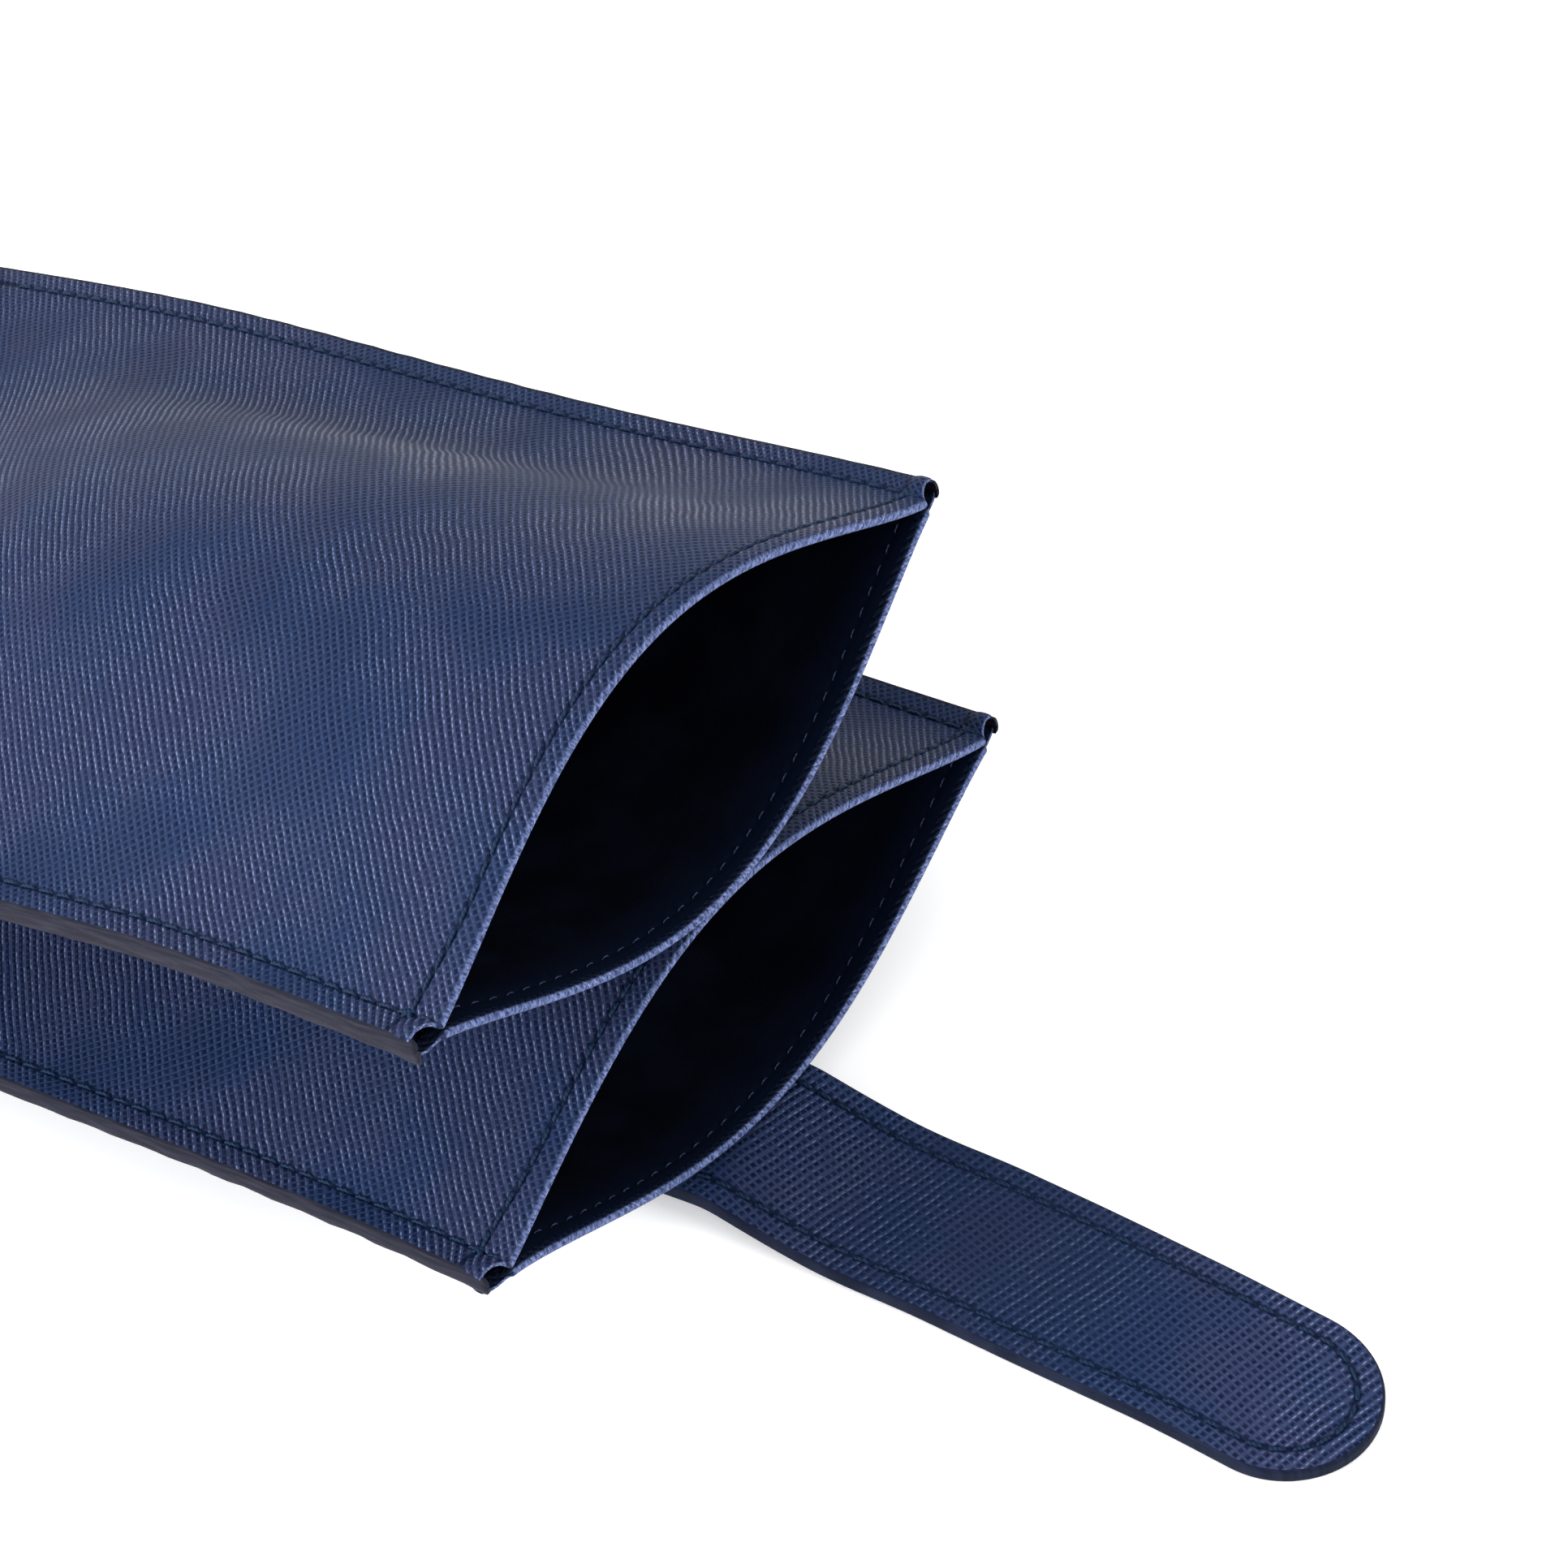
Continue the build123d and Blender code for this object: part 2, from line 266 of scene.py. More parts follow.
# ---------------------------------------------------------------- meshes
def make_mesh(name, points, faces, material, uvs=None):
    """Object from points in mm. uvs gives one coordinate pair per point for each UV map."""
    mesh = bpy.data.meshes.new(name)
    mesh.from_pydata((np.asarray(points) * MM).tolist(), [], [tuple(map(int, f)) for f in faces])
    for label, values in (uvs or {}).items():
        layer = mesh.uv_layers.new(name=label)
        corner = np.zeros(len(mesh.loops), np.int32)
        mesh.loops.foreach_get("vertex_index", corner)
        layer.data.foreach_set("uv", np.asarray(values, np.float32)[corner].ravel())
    mesh.shade_smooth()
    mesh.materials.append(material)
    mesh.validate()
    made = bpy.data.objects.new(name, mesh)
    bpy.context.scene.collection.objects.link(made)
    return made


def grid_faces(rows, columns, flip=False, wrap=False):
    """Quads of a grid of points stored row by row. wrap joins the last column to the first."""
    faces = []
    for i in range(rows - 1):
        for j in range(columns if wrap else columns - 1):
            k = (j + 1) % columns
            here, after = i * columns, (i + 1) * columns
            quad = (here + j, here + k, after + k, after + j)
            faces.append(quad[::-1] if flip else quad)
    return faces


def run_lengths(path):
    """Distance along a path at each of its points."""
    steps = np.linalg.norm(np.diff(path, axis=0), axis=1)
    return np.concatenate([[0], np.cumsum(steps)])


def panel_columns():
    """Places across a panel, from 0 to 1, crowded over the flanges and their stitching."""
    edge = np.concatenate([np.arange(0, 5.2, 0.26), np.arange(5.6, 12, 0.8)])
    middle = np.linspace(13, PANEL_WIDTH / 2, 30)
    half = np.concatenate([edge, middle]) / PANEL_WIDTH
    return np.concatenate([half, 1 - half[-2::-1]])


HEM_ROWS = (0.85, 1.2, 1.6, 2.0)


def rim_rows():
    """Distance from the rim and angle round its roll, row by row from the closed end to the hem."""
    back = np.concatenate([np.arange(SLEEVE_LENGTH, 6, -1.6), np.arange(5.8, RIM_RADIUS, -0.24)])
    rows = [(s, 0.0) for s in back]
    rows += [(RIM_RADIUS, pi * k / 8) for k in range(9)]
    rows += [(s, pi) for s in HEM_ROWS]
    return np.array(rows)


def panel_leather(sleeve, side, face, material):
    """Outer leather of a panel: grain side, turned rim and the hem just inside the mouth."""
    rows = rim_rows()
    across = panel_columns()
    s = rows[:, 0][:, None] * np.ones_like(across)[None, :]
    t = across[None, :] * np.ones_like(s)
    inset = np.minimum(t, 1 - t) * sleeve.chord(s)
    roll = rows[:, 1][:, None]
    radius = rim_radius(inset)
    s = np.where(s == RIM_RADIUS, RIM_RADIUS - radius * np.sin(roll), s)
    height = HALF_STACK - radius + radius * np.cos(roll)
    outer = np.arange(len(rows)) < len(rows) - len(HEM_ROWS)
    swell = 0.1 * np.sin(pi * np.clip((s - 0.6) / (MOUTH_INSET - 0.6), 0, 1))
    seam = mouth_seam(t)
    sunk = groove(s - seam) * smooth(inset, 2.6, 3.0)
    sunk_side = groove(inset - SIDE_INSET) * smooth(s, 2.0, 2.8)
    rolled = 0.16 * (1 - smooth(inset, 0, 0.5))
    offset = height + outer[:, None] * (swell - np.maximum(sunk, sunk_side) - rolled)
    points, _ = sleeve.surface(side, s, t, offset)

    # The grain is laid out flat: the real length across, and the length round the rim.
    flat, _ = sleeve.surface(side, s, t, HALF_STACK)
    steps = np.linalg.norm(np.diff(flat, axis=1), axis=2)
    length = np.concatenate([np.zeros((len(rows), 1)), np.cumsum(steps, axis=1)], axis=1)
    length -= length[:, len(across) // 2][:, None]
    from_rim = rows[:, 0] - RIM_RADIUS
    ahead = np.where(rows[:, 1] > 0, -RIM_RADIUS * rows[:, 1], from_rim)
    ahead = np.where(rows[:, 1] == pi, -RIM_RADIUS * pi - from_rim, ahead)
    along = (ahead + RIM_RADIUS)[:, None] * np.ones_like(length)
    to_mouth = along - (seam - MOUTH_INSET) * smooth(along, 0.6, 2.6)
    uvs = {
        "grain": np.stack([length, along], -1).reshape(-1, 2),
        "seam": np.stack([to_mouth, inset], -1).reshape(-1, 2),
    }
    name = f"{sleeve.name}_{face}_panel"
    made = make_mesh(name, points.reshape(-1, 3), grid_faces(*s.shape, side < 0), material, uvs)
    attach(made, sleeve.body)
    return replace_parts(made, f"{sleeve.name}_{face}_leather")


def panel_lining(sleeve, side, face, material):
    """Suede facing inside a panel, from just behind the rim to the closed end."""
    s = np.concatenate(
        [np.arange(LINING_START, 6, 0.35), np.arange(6.5, LINING_END, 2.0), [LINING_END]]
    )
    inner = np.linspace(0, 1, 61)
    edge = (FLANGE - 0.6) / sleeve.chord(s)[:, None]
    t = edge + (1 - 2 * edge) * inner[None, :]
    s = s[:, None] * np.ones_like(t)
    dimple = groove(s - mouth_seam(t), depth=0.12, width=0.3)
    points, _ = sleeve.surface(side, s, t, 0.03 + dimple)
    points = points.reshape(-1, 3)
    uv = np.stack([t * sleeve.chord(s), s], -1).reshape(-1, 2)
    faces = grid_faces(*t.shape, side > 0)
    made = make_mesh(f"{sleeve.name}_{face}_suede", points, faces, material, {"grain": uv})
    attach(made, sleeve.body)
    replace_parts(made, f"{sleeve.name}_{face}_lining")
    return made


def edge_band(sleeve, hand, word, droop, material):
    """Painted edge that closes both leathers along one long side, with a rounded front end."""
    front = CORNER_RETREAT - sleeve.corners[0 if hand < 0 else 1][0]
    nose = [-EDGE_NOSE, -0.4, -0.3, -0.12, 0.15, 0.5]
    s = front + np.concatenate([nose, np.arange(1.0, SLEEVE_LENGTH - front, 2.0)])
    s = np.append(s, SLEEVE_LENGTH)
    angles = np.linspace(-pi / 2, pi / 2, 15)
    points = []
    uv = []
    for at in s:
        end = sqrt(1 - min(max(front - at, 0) / EDGE_NOSE, 1) ** 2)
        edge = sleeve.base(1, np.array(at), np.array(1.0 if hand > 0 else 0.0))
        edge = edge - (edge - sleeve.origin) @ sleeve.out * sleeve.out - at * sleeve.out
        wobble = 0.05 * sin(at * 0.9) + 0.04 * sin(at * 2.3 + 1) + 0.02 * sin(at * 5.1)
        deep = EDGE_HEIGHT + (droop + 0.5 * float(1 - smooth(at, 1, 9))) * (droop > 0)
        for a in angles:
            out = -0.3 + (0.6 + wobble) * max(cos(a), 0) ** 0.6 * (0.35 + 0.65 * end)
            reach, way = (EDGE_HEIGHT, 1) if a > 0 else (deep + 0.5 * wobble, -1)
            high = reach * abs(sin(a)) ** 0.85 * way
            high *= 0.1 + 0.9 * end
            points.append(edge + high * sleeve.up + np.array([0, hand * out, 0]))
            uv.append((a * EDGE_GRAIN, at))
    faces = grid_faces(len(s), len(angles), hand > 0)
    made = make_mesh(f"{sleeve.name}_{word}_edge", points, faces, material, {"grain": uv})
    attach(made, sleeve.body)
    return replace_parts(made, f"{sleeve.name}_{word}_edge_paint")


# ---------------------------------------------------------------- stitching
def stitches(
    path, normals, material, pitch=PITCH, thread=THREAD, proud=0.13, slant=0.16, span=0.88
):
    """Row of separate stitches along a path. Each dips into the leather at both of its holes."""
    length = run_lengths(path)
    count = max(1, round(length[-1] / pitch))
    pitch = length[-1] / count
    rings = np.linspace(0, 1, 8)
    from_middle = 2 * rings - 1
    lift = proud * (1 - from_middle**4) - HOLE_DIP * from_middle**6
    radius = thread / 2 * (1 - 0.35 * from_middle**4)
    turns = np.linspace(0, 2 * pi, 7)[:-1]
    points = []
    faces = []
    for k in range(count):
        at = (k + (1 - span) / 2 + span * rings) * pitch
        centre = np.stack([np.interp(at, length, path[:, i]) for i in range(3)], -1)
        normal = unit(np.stack([np.interp(at, length, normals[:, i]) for i in range(3)], -1))
        forward = unit(np.gradient(centre, axis=0))
        sideways = np.cross(normal, forward)
        centre = centre + normal * lift[:, None] + sideways * (slant * (rings - 0.5))[:, None]
        first = len(points)
        for c, n, w, r in zip(centre, normal, sideways, radius):
            points += [c + r * (cos(a) * w + 0.8 * sin(a) * n) for a in turns]
        for quad in grid_faces(len(rings), len(turns), wrap=True):
            faces.append(tuple(first + q for q in quad))
    made = make_mesh("run", points, faces, material)
    return made


def mouth_path(sleeve, side, offset, start=SIDE_INSET):
    """Line of the stitching along a mouth, from one side seam to the other."""
    chord = float(sleeve.chord(np.array(MOUTH_INSET)))
    t = np.linspace(start / chord, 1 - start / chord, 240)
    return sleeve.surface(side, mouth_seam(t), t, offset)


def side_path(sleeve, side, hand, offset):
    """Line of the stitching along a side, from the mouth to the spine's tab."""
    s = np.linspace(0.7, SLEEVE_LENGTH - 9.0, 200)
    t = SIDE_INSET / sleeve.chord(s)
    return sleeve.surface(side, s, t if hand < 0 else 1 - t, offset)


def corner_stitches(sleeve, side, hand, offset, material):
    """Two crossed stitches that lock the corner where the side and mouth seams meet."""
    t = SIDE_INSET / float(sleeve.chord(np.array(MOUTH_INSET)))
    at = np.array([t if hand < 0 else 1 - t])
    centre, up = sleeve.surface(side, mouth_seam(at), at, offset + 0.04)
    made = []
    for turn in (-0.9, 0.7):
        way = cos(turn) * sleeve.out + sin(turn) * ACROSS
        line = centre[0] + np.linspace(-1.1, 1.1, 9)[:, None] * way
        made.append(stitches(line, np.repeat(up, 9, 0), material, pitch=2.2))
    return made


def join(objects, name):
    """Join loose meshes into the first, so that one seam is one piece."""
    first = objects[0]
    if len(objects) > 1:
        with bpy.context.temp_override(active_object=first, selected_editable_objects=objects):
            bpy.ops.object.join()
    first.name = name
    return first


def weld(made):
    """Merge points that coincide and drop the faces that vanish with them."""
    mesh = bmesh.new()
    mesh.from_mesh(made.data)
    bmesh.ops.remove_doubles(mesh, verts=mesh.verts, dist=2e-6)
    bmesh.ops.dissolve_degenerate(mesh, edges=mesh.edges, dist=1e-7)
    mesh.to_mesh(made.data)
    mesh.free()
    return made


def sew_sleeve(sleeve, material, inner_material):
    """All of a sleeve's stitching, one piece for each seam."""
    sunk = HALF_STACK - 0.1
    fine = {"thread": INNER_THREAD, "proud": 0.07, "slant": 0.1, "span": 0.55}
    for side, face in FACES:
        outside = stitches(*mouth_path(sleeve, side, sunk), material)
        path, normal = mouth_path(sleeve, side, 0.02, start=5.0)
        inside = stitches(path, -normal, inner_material, **fine)
        made = join([outside, inside], f"{sleeve.name}_{face}_mouth_stitches")
        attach(made, sleeve.body)
        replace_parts(made, f"{sleeve.name}_{face}_mouth_thread")
    for hand, word in SIDES:
        runs = []
        for side, _ in FACES:
            runs.append(stitches(*side_path(sleeve, side, hand, sunk), material))
            runs += corner_stitches(sleeve, side, hand, sunk, material)
        made = join(runs, f"{sleeve.name}_{word}_stitches")
        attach(made, sleeve.body)
        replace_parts(made, f"{sleeve.name}_{word}_thread")


# ---------------------------------------------------------------- spine
def spine_line():
    """Middle line of the spine leather from the lower tab, up the wall, to the upper tab."""
    low = np.array(JOINTS["spine_fold"]["pos_m"]) / MM
    high = np.array(JOINTS["upper_fold"]["pos_m"]) / MM
    ends = []
    for sleeve, pivot in ((LOWER, low), (UPPER, high)):
        angle = sleeve.end_angle()
        ends.append(pivot + SPINE_TAB * np.array([cos(angle), 0, sin(angle)]))
    corners = [ends[0], low, high, ends[1]]
    points = []
    for a, b, count in zip(corners, corners[1:], (14, 26, 14)):
        points += [a + (b - a) * k / count for k in range(count)]
    points.append(corners[3])
    line = np.array(points)
    for _ in range(5):  # rounds of smoothing, which turn the two corners into folds
        line[1:-1] = 0.5 * line[1:-1] + 0.25 * (line[:-2] + line[2:])
    return line


def spine_slab(name, line, material):
    """Strip of leather along a line in the XZ plane, grain side out, with rounded cut edges."""
    tangent = unit(np.gradient(line, axis=0))
    inward = np.cross(ACROSS, tangent)
    r = SPINE_THICK / 2
    flat = SPINE_HALF_WIDTH - r
    turns = [pi * k / 8 for k in range(1, 8)]
    section = [(y, r) for y in np.linspace(-flat, flat, 33)]
    section += [(flat + r * cos(pi / 2 - a), r * sin(pi / 2 - a)) for a in turns]
    section += [(y, -r) for y in np.linspace(flat, -flat, 33)]
    section += [(-flat + r * cos(-pi / 2 - a), r * sin(-pi / 2 - a)) for a in turns]
    points = []
    uv = []
    for c, n, along in zip(line, inward, run_lengths(line)):
        for y, z in section:
            points.append(c - z * n + np.array([0, y, 0]))
            uv.append((y, along))
    faces = grid_faces(len(line), len(section), wrap=True, flip=True)
    return make_mesh(name, points, faces, material, {"grain": uv, "seam": [NO_SEAM] * len(uv)})


def build_spine(leather, thread):
    line = spine_line()
    middle = int(np.argmin(np.abs(line[:, 2] - (line[0, 2] + line[-1, 2]) / 2)))
    lower = spine_slab("spine_lower_fold", line[: middle + 1], leather)
    upper = spine_slab("spine_upper_fold", line[middle:], leather)
    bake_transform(lower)
    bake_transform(upper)
    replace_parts(lower, "spine_leather", "lower_spine_tab")
    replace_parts(upper, "upper_spine_tab")
    sew_spine_tab(LOWER, -1, line[0], thread)
    sew_spine_tab(UPPER, 1, line[-1], thread)


def sew_spine_tab(sleeve, side, end, thread):
    """Row of stitches through a tab and the closed end of its sleeve, seen on both faces."""
    angle = sleeve.end_angle()
    up = side * np.array([-sin(angle), 0, cos(angle)])
    y = np.linspace(-47, 47, 120)
    proud = 0.42  # from the middle of the tab's leather to the middle of the thread
    through = proud + SPINE_THICK / 2 + 0.05 + 2 * HALF_STACK + 0.02
    place = end - 2.0 * np.array([cos(angle), 0, sin(angle)])
    path = place + np.stack([np.zeros_like(y), y, np.zeros_like(y)], -1) + up * proud
    runs = [
        stitches(path, np.repeat(up[None], len(y), 0), thread),
        stitches(path - up * through, np.repeat(-up[None], len(y), 0), thread),
    ]
    made = join(runs, f"{sleeve.name}_end_stitches")
    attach(made, sleeve.body)
    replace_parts(made, f"{sleeve.name}_end_thread")


# ---------------------------------------------------------------- strap
def strap_rise(x):
    """How far the strap stands off the table: it climbs under the lifted rim of the lower mouth,
    and from there slopes down to the table."""
    foot, top = STRAP_CLIMB
    climb = STRAP_RISE * np.clip((x - foot) / (top - foot), 0, 1) ** 2.2
    crest, table = STRAP_SLOPE
    descent = 2.3 * np.clip(1 - (x - crest) / (table - crest), 0, None) ** 1.8
    sharpness = 3  # of the crest where the two meet
    lower = np.exp(-sharpness * climb) + np.exp(-sharpness * descent)
    return np.maximum(-np.log(lower) / sharpness, 0)


def strap_to_frame(points):
    """From the strap's own flat frame to the object's, with its slight bow and taper."""
    x, y, z = points[..., 0], points[..., 1], points[..., 2]
    bow = STRAP_BOW * smooth(x, 18, 34) * (1 - smooth(x, 58, 78))
    y = y * (1 - STRAP_TAPER * smooth(x, 40, 68)) + bow
    return np.stack(
        [
            x * cos(STRAP_YAW) - y * sin(STRAP_YAW) + UPPER.origin[0],
            x * sin(STRAP_YAW) + y * cos(STRAP_YAW) + STRAP_OFFSET,
            strap_rise(x) + z,
        ],
        -1,
    )


def strap_outlines(inset, start, stop):
    """Lines along the strap at a distance in from its edge: one for each side, or a single one
    round the tip where stop takes that in."""
    half = STRAP_WIDTH / 2 - inset
    centre = STRAP_END - STRAP_WIDTH / 2
    rounded = stop > centre
    last = centre if rounded else stop
    count = max(2, round((last - start) / 1.0))
    x = np.linspace(start, last, count + 1)
    near = np.stack([x, np.full_like(x, -half)], -1)
    far = near[::-1] * np.array([1, -1])
    if not rounded:
        return near, far
    a = np.linspace(-pi / 2, pi / 2, 41)
    tip = np.stack([centre + half * np.cos(a), half * np.sin(a)], -1)
    return (np.concatenate([near[:-1], tip, far[1:]]),)


def strap_rings():
    """Inset, height and kind of each ring, from the middle of the front to that of the back."""
    half = STRAP_WIDTH / 2
    top = STRAP_THICK
    r = STRAP_ROUND
    rings = []
    for inset in [half, 9, 7.5, 6, 5, 4.2, 3.7, 3.45, 3.2, 3.0, 2.8, 2.55, 2.3, 1.8, 1.2, 0.8]:
        crown = 0.06 * smooth(inset, 3, 8)
        rings.append((inset, top - groove(inset - STRAP_INSET, 0.15) + crown, "upper"))
    for k in range(9):
        a = pi / 2 * k / 8
        rings.append((r - r * sin(a), top - r + r * cos(a), "upper" if k < 3 else "edge"))
    for k in range(9):
        a = pi / 2 * k / 8
        rings.append((r - r * cos(a), r - r * sin(a), "edge" if k < 6 else "under"))
    for inset in [0.8, 1.5, 2.6, 3.0, 3.4, 5, 7, 9, half]:
        rings.append((inset, groove(inset - STRAP_INSET, 0.12), "under"))
    return rings


def strap_skin(name, rings, start, stop, material):
    """Mesh through some of the strap's rings, over one length of the strap."""
    rows, uv, seam = [], [], []
    for inset, z, _ in rings:
        outlines = strap_outlines(max(inset, 0.0), start, stop)
        for outline in outlines:
            z_column = np.full((len(outline), 1), z)
            rows.append(strap_to_frame(np.concatenate([outline, z_column], axis=1)))
            uv.append(outline[:, ::-1] + np.array([0, STRAP_GRAIN]))
            far_off = np.full(len(outline), NO_SEAM[0])
            seam.append(np.stack([far_off, np.full(len(outline), inset)], -1))
    strips = len(outlines)
    parts = []
    for k in range(strips):
        chunk = rows[k::strips]
        uvs = {"grain": np.concatenate(uv[k::strips]), "seam": np.concatenate(seam[k::strips])}
        faces = grid_faces(len(chunk), len(chunk[0]))
        parts.append(make_mesh(name, np.concatenate(chunk), faces, material, uvs))
    return weld(join(parts, f"{name}_skin"))


def strap_piece(word, start, stop, materials):
    """One length of the strap, as its grain leather, painted edge and back leather."""
    rings = strap_rings()
    made = {}
    for kind in ("upper", "edge", "under"):
        chosen = [i for i, ring in enumerate(rings) if ring[2] == kind]
        margin = 1 if kind == "edge" else 0  # the paint meets the leathers' outermost rings
        wanted = rings[chosen[0] - margin : chosen[-1] + 1 + margin]
        made[kind] = strap_skin(f"strap_{word}_{kind}", wanted, start, stop, materials[kind])
    return made


def strap_sewing(name, start, stop, material):
    """Stitching along one length of the strap, on its grain side and its back."""
    runs = []
    for line in strap_outlines(STRAP_INSET, start, stop):
        for z, up, proud in ((STRAP_THICK - 0.14, UP, 0.1), (0.2, -UP, 0.0)):
            path = strap_to_frame(np.concatenate([line, np.full((len(line), 1), z)], axis=1))
            runs.append(stitches(path, np.repeat(up[None], len(path), 0), material, proud=proud))
    return join(runs, name)


def build_strap(materials, thread):
    inner = strap_piece("inner", STRAP_START, STRAP_SPLIT, materials)
    outer = strap_piece("outer", STRAP_SPLIT, STRAP_END, materials)
    inner["sewing"] = strap_sewing("strap_inner_stitches", STRAP_START + 3, STRAP_SPLIT, thread)
    outer["sewing"] = strap_sewing("strap_outer_stitches", STRAP_SPLIT, STRAP_END, thread)
    for made in inner.values():
        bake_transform(made)
    for made in outer.values():
        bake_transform(made)
    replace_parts(inner["upper"], "strap_root_upper", "strap_middle_upper")
    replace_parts(inner["under"], "strap_root_under", "strap_middle_under")
    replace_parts(inner["sewing"], "strap_middle_thread")
    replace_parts(outer["upper"], "strap_tip_upper")
    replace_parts(outer["under"], "strap_tip_under")
    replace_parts(outer["sewing"], "strap_tip_thread")


# ---------------------------------------------------------------- materials
class Graph:
    """Short way to write a material's nodes."""

    def __init__(self, name):
        self.material = bpy.data.materials.new(name)
        self.material.use_nodes = True
        self.tree = self.material.node_tree
        self.shader = self.tree.nodes["Principled BSDF"]

    def put(self, socket, value):
        if isinstance(value, bpy.types.NodeSocket):
            self.tree.links.new(value, socket)
        elif isinstance(value, (tuple, list)) and socket.type == "RGBA" and len(value) == 3:
            socket.default_value = (*value, 1)
        else:
            socket.default_value = value

    def node(self, kind, output=0, settings=None, **inputs):
        made = self.tree.nodes.new("ShaderNode" + kind)
        for key, value in (settings or {}).items():
            setattr(made, key, value)
        for key, value in inputs.items():
            self.put(made.inputs[key.replace("_", " ")], value)
        return made.outputs[output]

    def math(self, operation, *values):
        made = self.tree.nodes.new("ShaderNodeMath")
        made.operation = operation
        for socket, value in zip(made.inputs, values):
            self.put(socket, value)
        return made.outputs[0]

    def times(self, first, *others):
        for other in others:
            first = self.math("MULTIPLY", first, other)
        return first

    def plus(self, a, b):
        return self.math("ADD", a, b)

    def vector(self, operation, *values):
        made = self.tree.nodes.new("ShaderNodeVectorMath")
        made.operation = operation
        for socket, value in zip(made.inputs, values):
            self.put(socket, value)
        return made.outputs[0]

    def scaled(self, vector, factor):
        made = self.tree.nodes.new("ShaderNodeVectorMath")
        made.operation = "SCALE"
        self.put(made.inputs[0], vector)
        self.put(made.inputs["Scale"], factor)
        return made.outputs[0]

    def split(self, vector):
        made = self.tree.nodes.new("ShaderNodeSeparateXYZ")
        self.put(made.inputs[0], vector)
        return made.outputs[0], made.outputs[1]

    def uv(self, name):
        return self.node("UVMap", settings={"uv_map": name})

    def noise(self, vector, scale, detail=2.0, output=0):
        return self.node("TexNoise", output, None, Vector=vector, Scale=scale, Detail=detail)

    def step(self, value, low, high, bottom=0.0, top=1.0):
        """Smooth change from bottom to top as value goes from low to high."""
        made = self.tree.nodes.new("ShaderNodeMapRange")
        made.interpolation_type = "SMOOTHSTEP"
        limits = {"From Min": low, "From Max": high, "To Min": bottom, "To Max": top}
        for key, amount in {"Value": value, **limits}.items():
            self.put(made.inputs[key], amount)
        return made.outputs[0]

    def mix(self, factor, a, b):
        made = self.tree.nodes.new("ShaderNodeMix")
        made.data_type = "RGBA"
        self.put(made.inputs["Factor"], factor)
        self.put(made.inputs[6], a)
        self.put(made.inputs[7], b)
        return made.outputs[2]

    def bump(self, height, distance, strength=1.0):
        return self.node("Bump", Height=height, Distance=distance, Strength=strength)

    def finish(self, **inputs):
        for key, value in inputs.items():
            self.put(self.shader.inputs[key.replace("_", " ")], value)
        return self.material


# Colours of the leather, scene linear
BODY = (0.0130, 0.0252, 0.069)
BODY_WARM = (0.0212, 0.0282, 0.068)
# Painted shade in the dents between the raised lines
DENT_SHADE = (0.0020, 0.0058, 0.024)
# Painted highlight on the ridge crests
GLINT = (0.140, 0.172, 0.290)
# Painted highlight: lighter copies of the leather colours for the turned rim, then its bright dashes
RIM_BODY = (0.050, 0.072, 0.170)
RIM_DENT = (0.012, 0.022, 0.070)
RIM_GLINT = (0.38, 0.45, 0.72)
RIM_HIGHLIGHT = (0.155, 0.195, 0.385)
# Painted shade in the grooves that the stitching presses in
GROOVE_SHADE = (0.0018, 0.0050, 0.018)
# Painted shade on the hem behind the rim
HEM_SHADE = (0.003, 0.006, 0.016)
# Painted shade along a stretch of the strap
STRAP_SHADE = (0.006, 0.013, 0.038)


def grain_cells(g, place, turn, pitch_x, pitch_y, wander):
    """Place in the grain's lattice, one unit to a cell. The lattice bends slowly over a panel and
    trembles from line to line."""
    bent = place
    for scale, reach in ((0.017, wander), (0.16, 0.5), (0.7, 0.22)):
        push = g.vector("SUBTRACT", g.noise(place, scale, 1.0, 1), (0.5, 0.5, 0.5))
        bent = g.vector("ADD", bent, g.scaled(push, reach))
    turned = g.node("Mapping", Vector=bent, Rotation=(0, 0, turn))
    return g.split(g.vector("MULTIPLY", turned, (1 / pitch_x, 1 / pitch_y, 1.0)))


def grain_ridges(g, part_x, part_y, fade):
    """Height of the raised lines, 0 in a dent and 1 on a ridge. Where one family is pressed
    weakly, the other is strong."""
    strong_x = g.step(fade, 0.38, 0.56, 0.45, 1.0)
    strong_y = g.step(fade, 0.42, 0.62, 0.85, 0.42)
    line_x = g.plus(g.step(part_x, 0.16, 0.42, 1.0, 0.0), g.step(part_x, 0.62, 0.88))
    line_y = g.plus(g.step(part_y, 0.0, 0.34, 1.0, 0.0), g.step(part_y, 0.68, 1.0))
    return g.math("MAXIMUM", g.times(line_x, strong_x), g.times(line_y, strong_y))


def grain_glints(g, part_x, part_y, chance, pores, fade):
    """Painted highlights: short bright dashes along the crests of the stronger ridges,
    on some cells only.
    """
    crest = g.plus(g.step(part_x, 0.0, 0.22, 1.0, 0.0), g.step(part_x, 0.84, 1.0))
    dash = g.times(g.step(part_y, 0.10, 0.40), g.step(part_y, 0.60, 0.95, 1.0, 0.0))
    dash = g.times(g.plus(g.times(dash, 0.75), 0.25), g.step(crest, 0.35, 0.85))
    glint = g.step(g.times(pores, g.plus(chance, 1.0)), 0.50, 0.95)
    return g.times(glint, dash, g.step(fade, 0.40, 0.58, 0.25, 1.0))


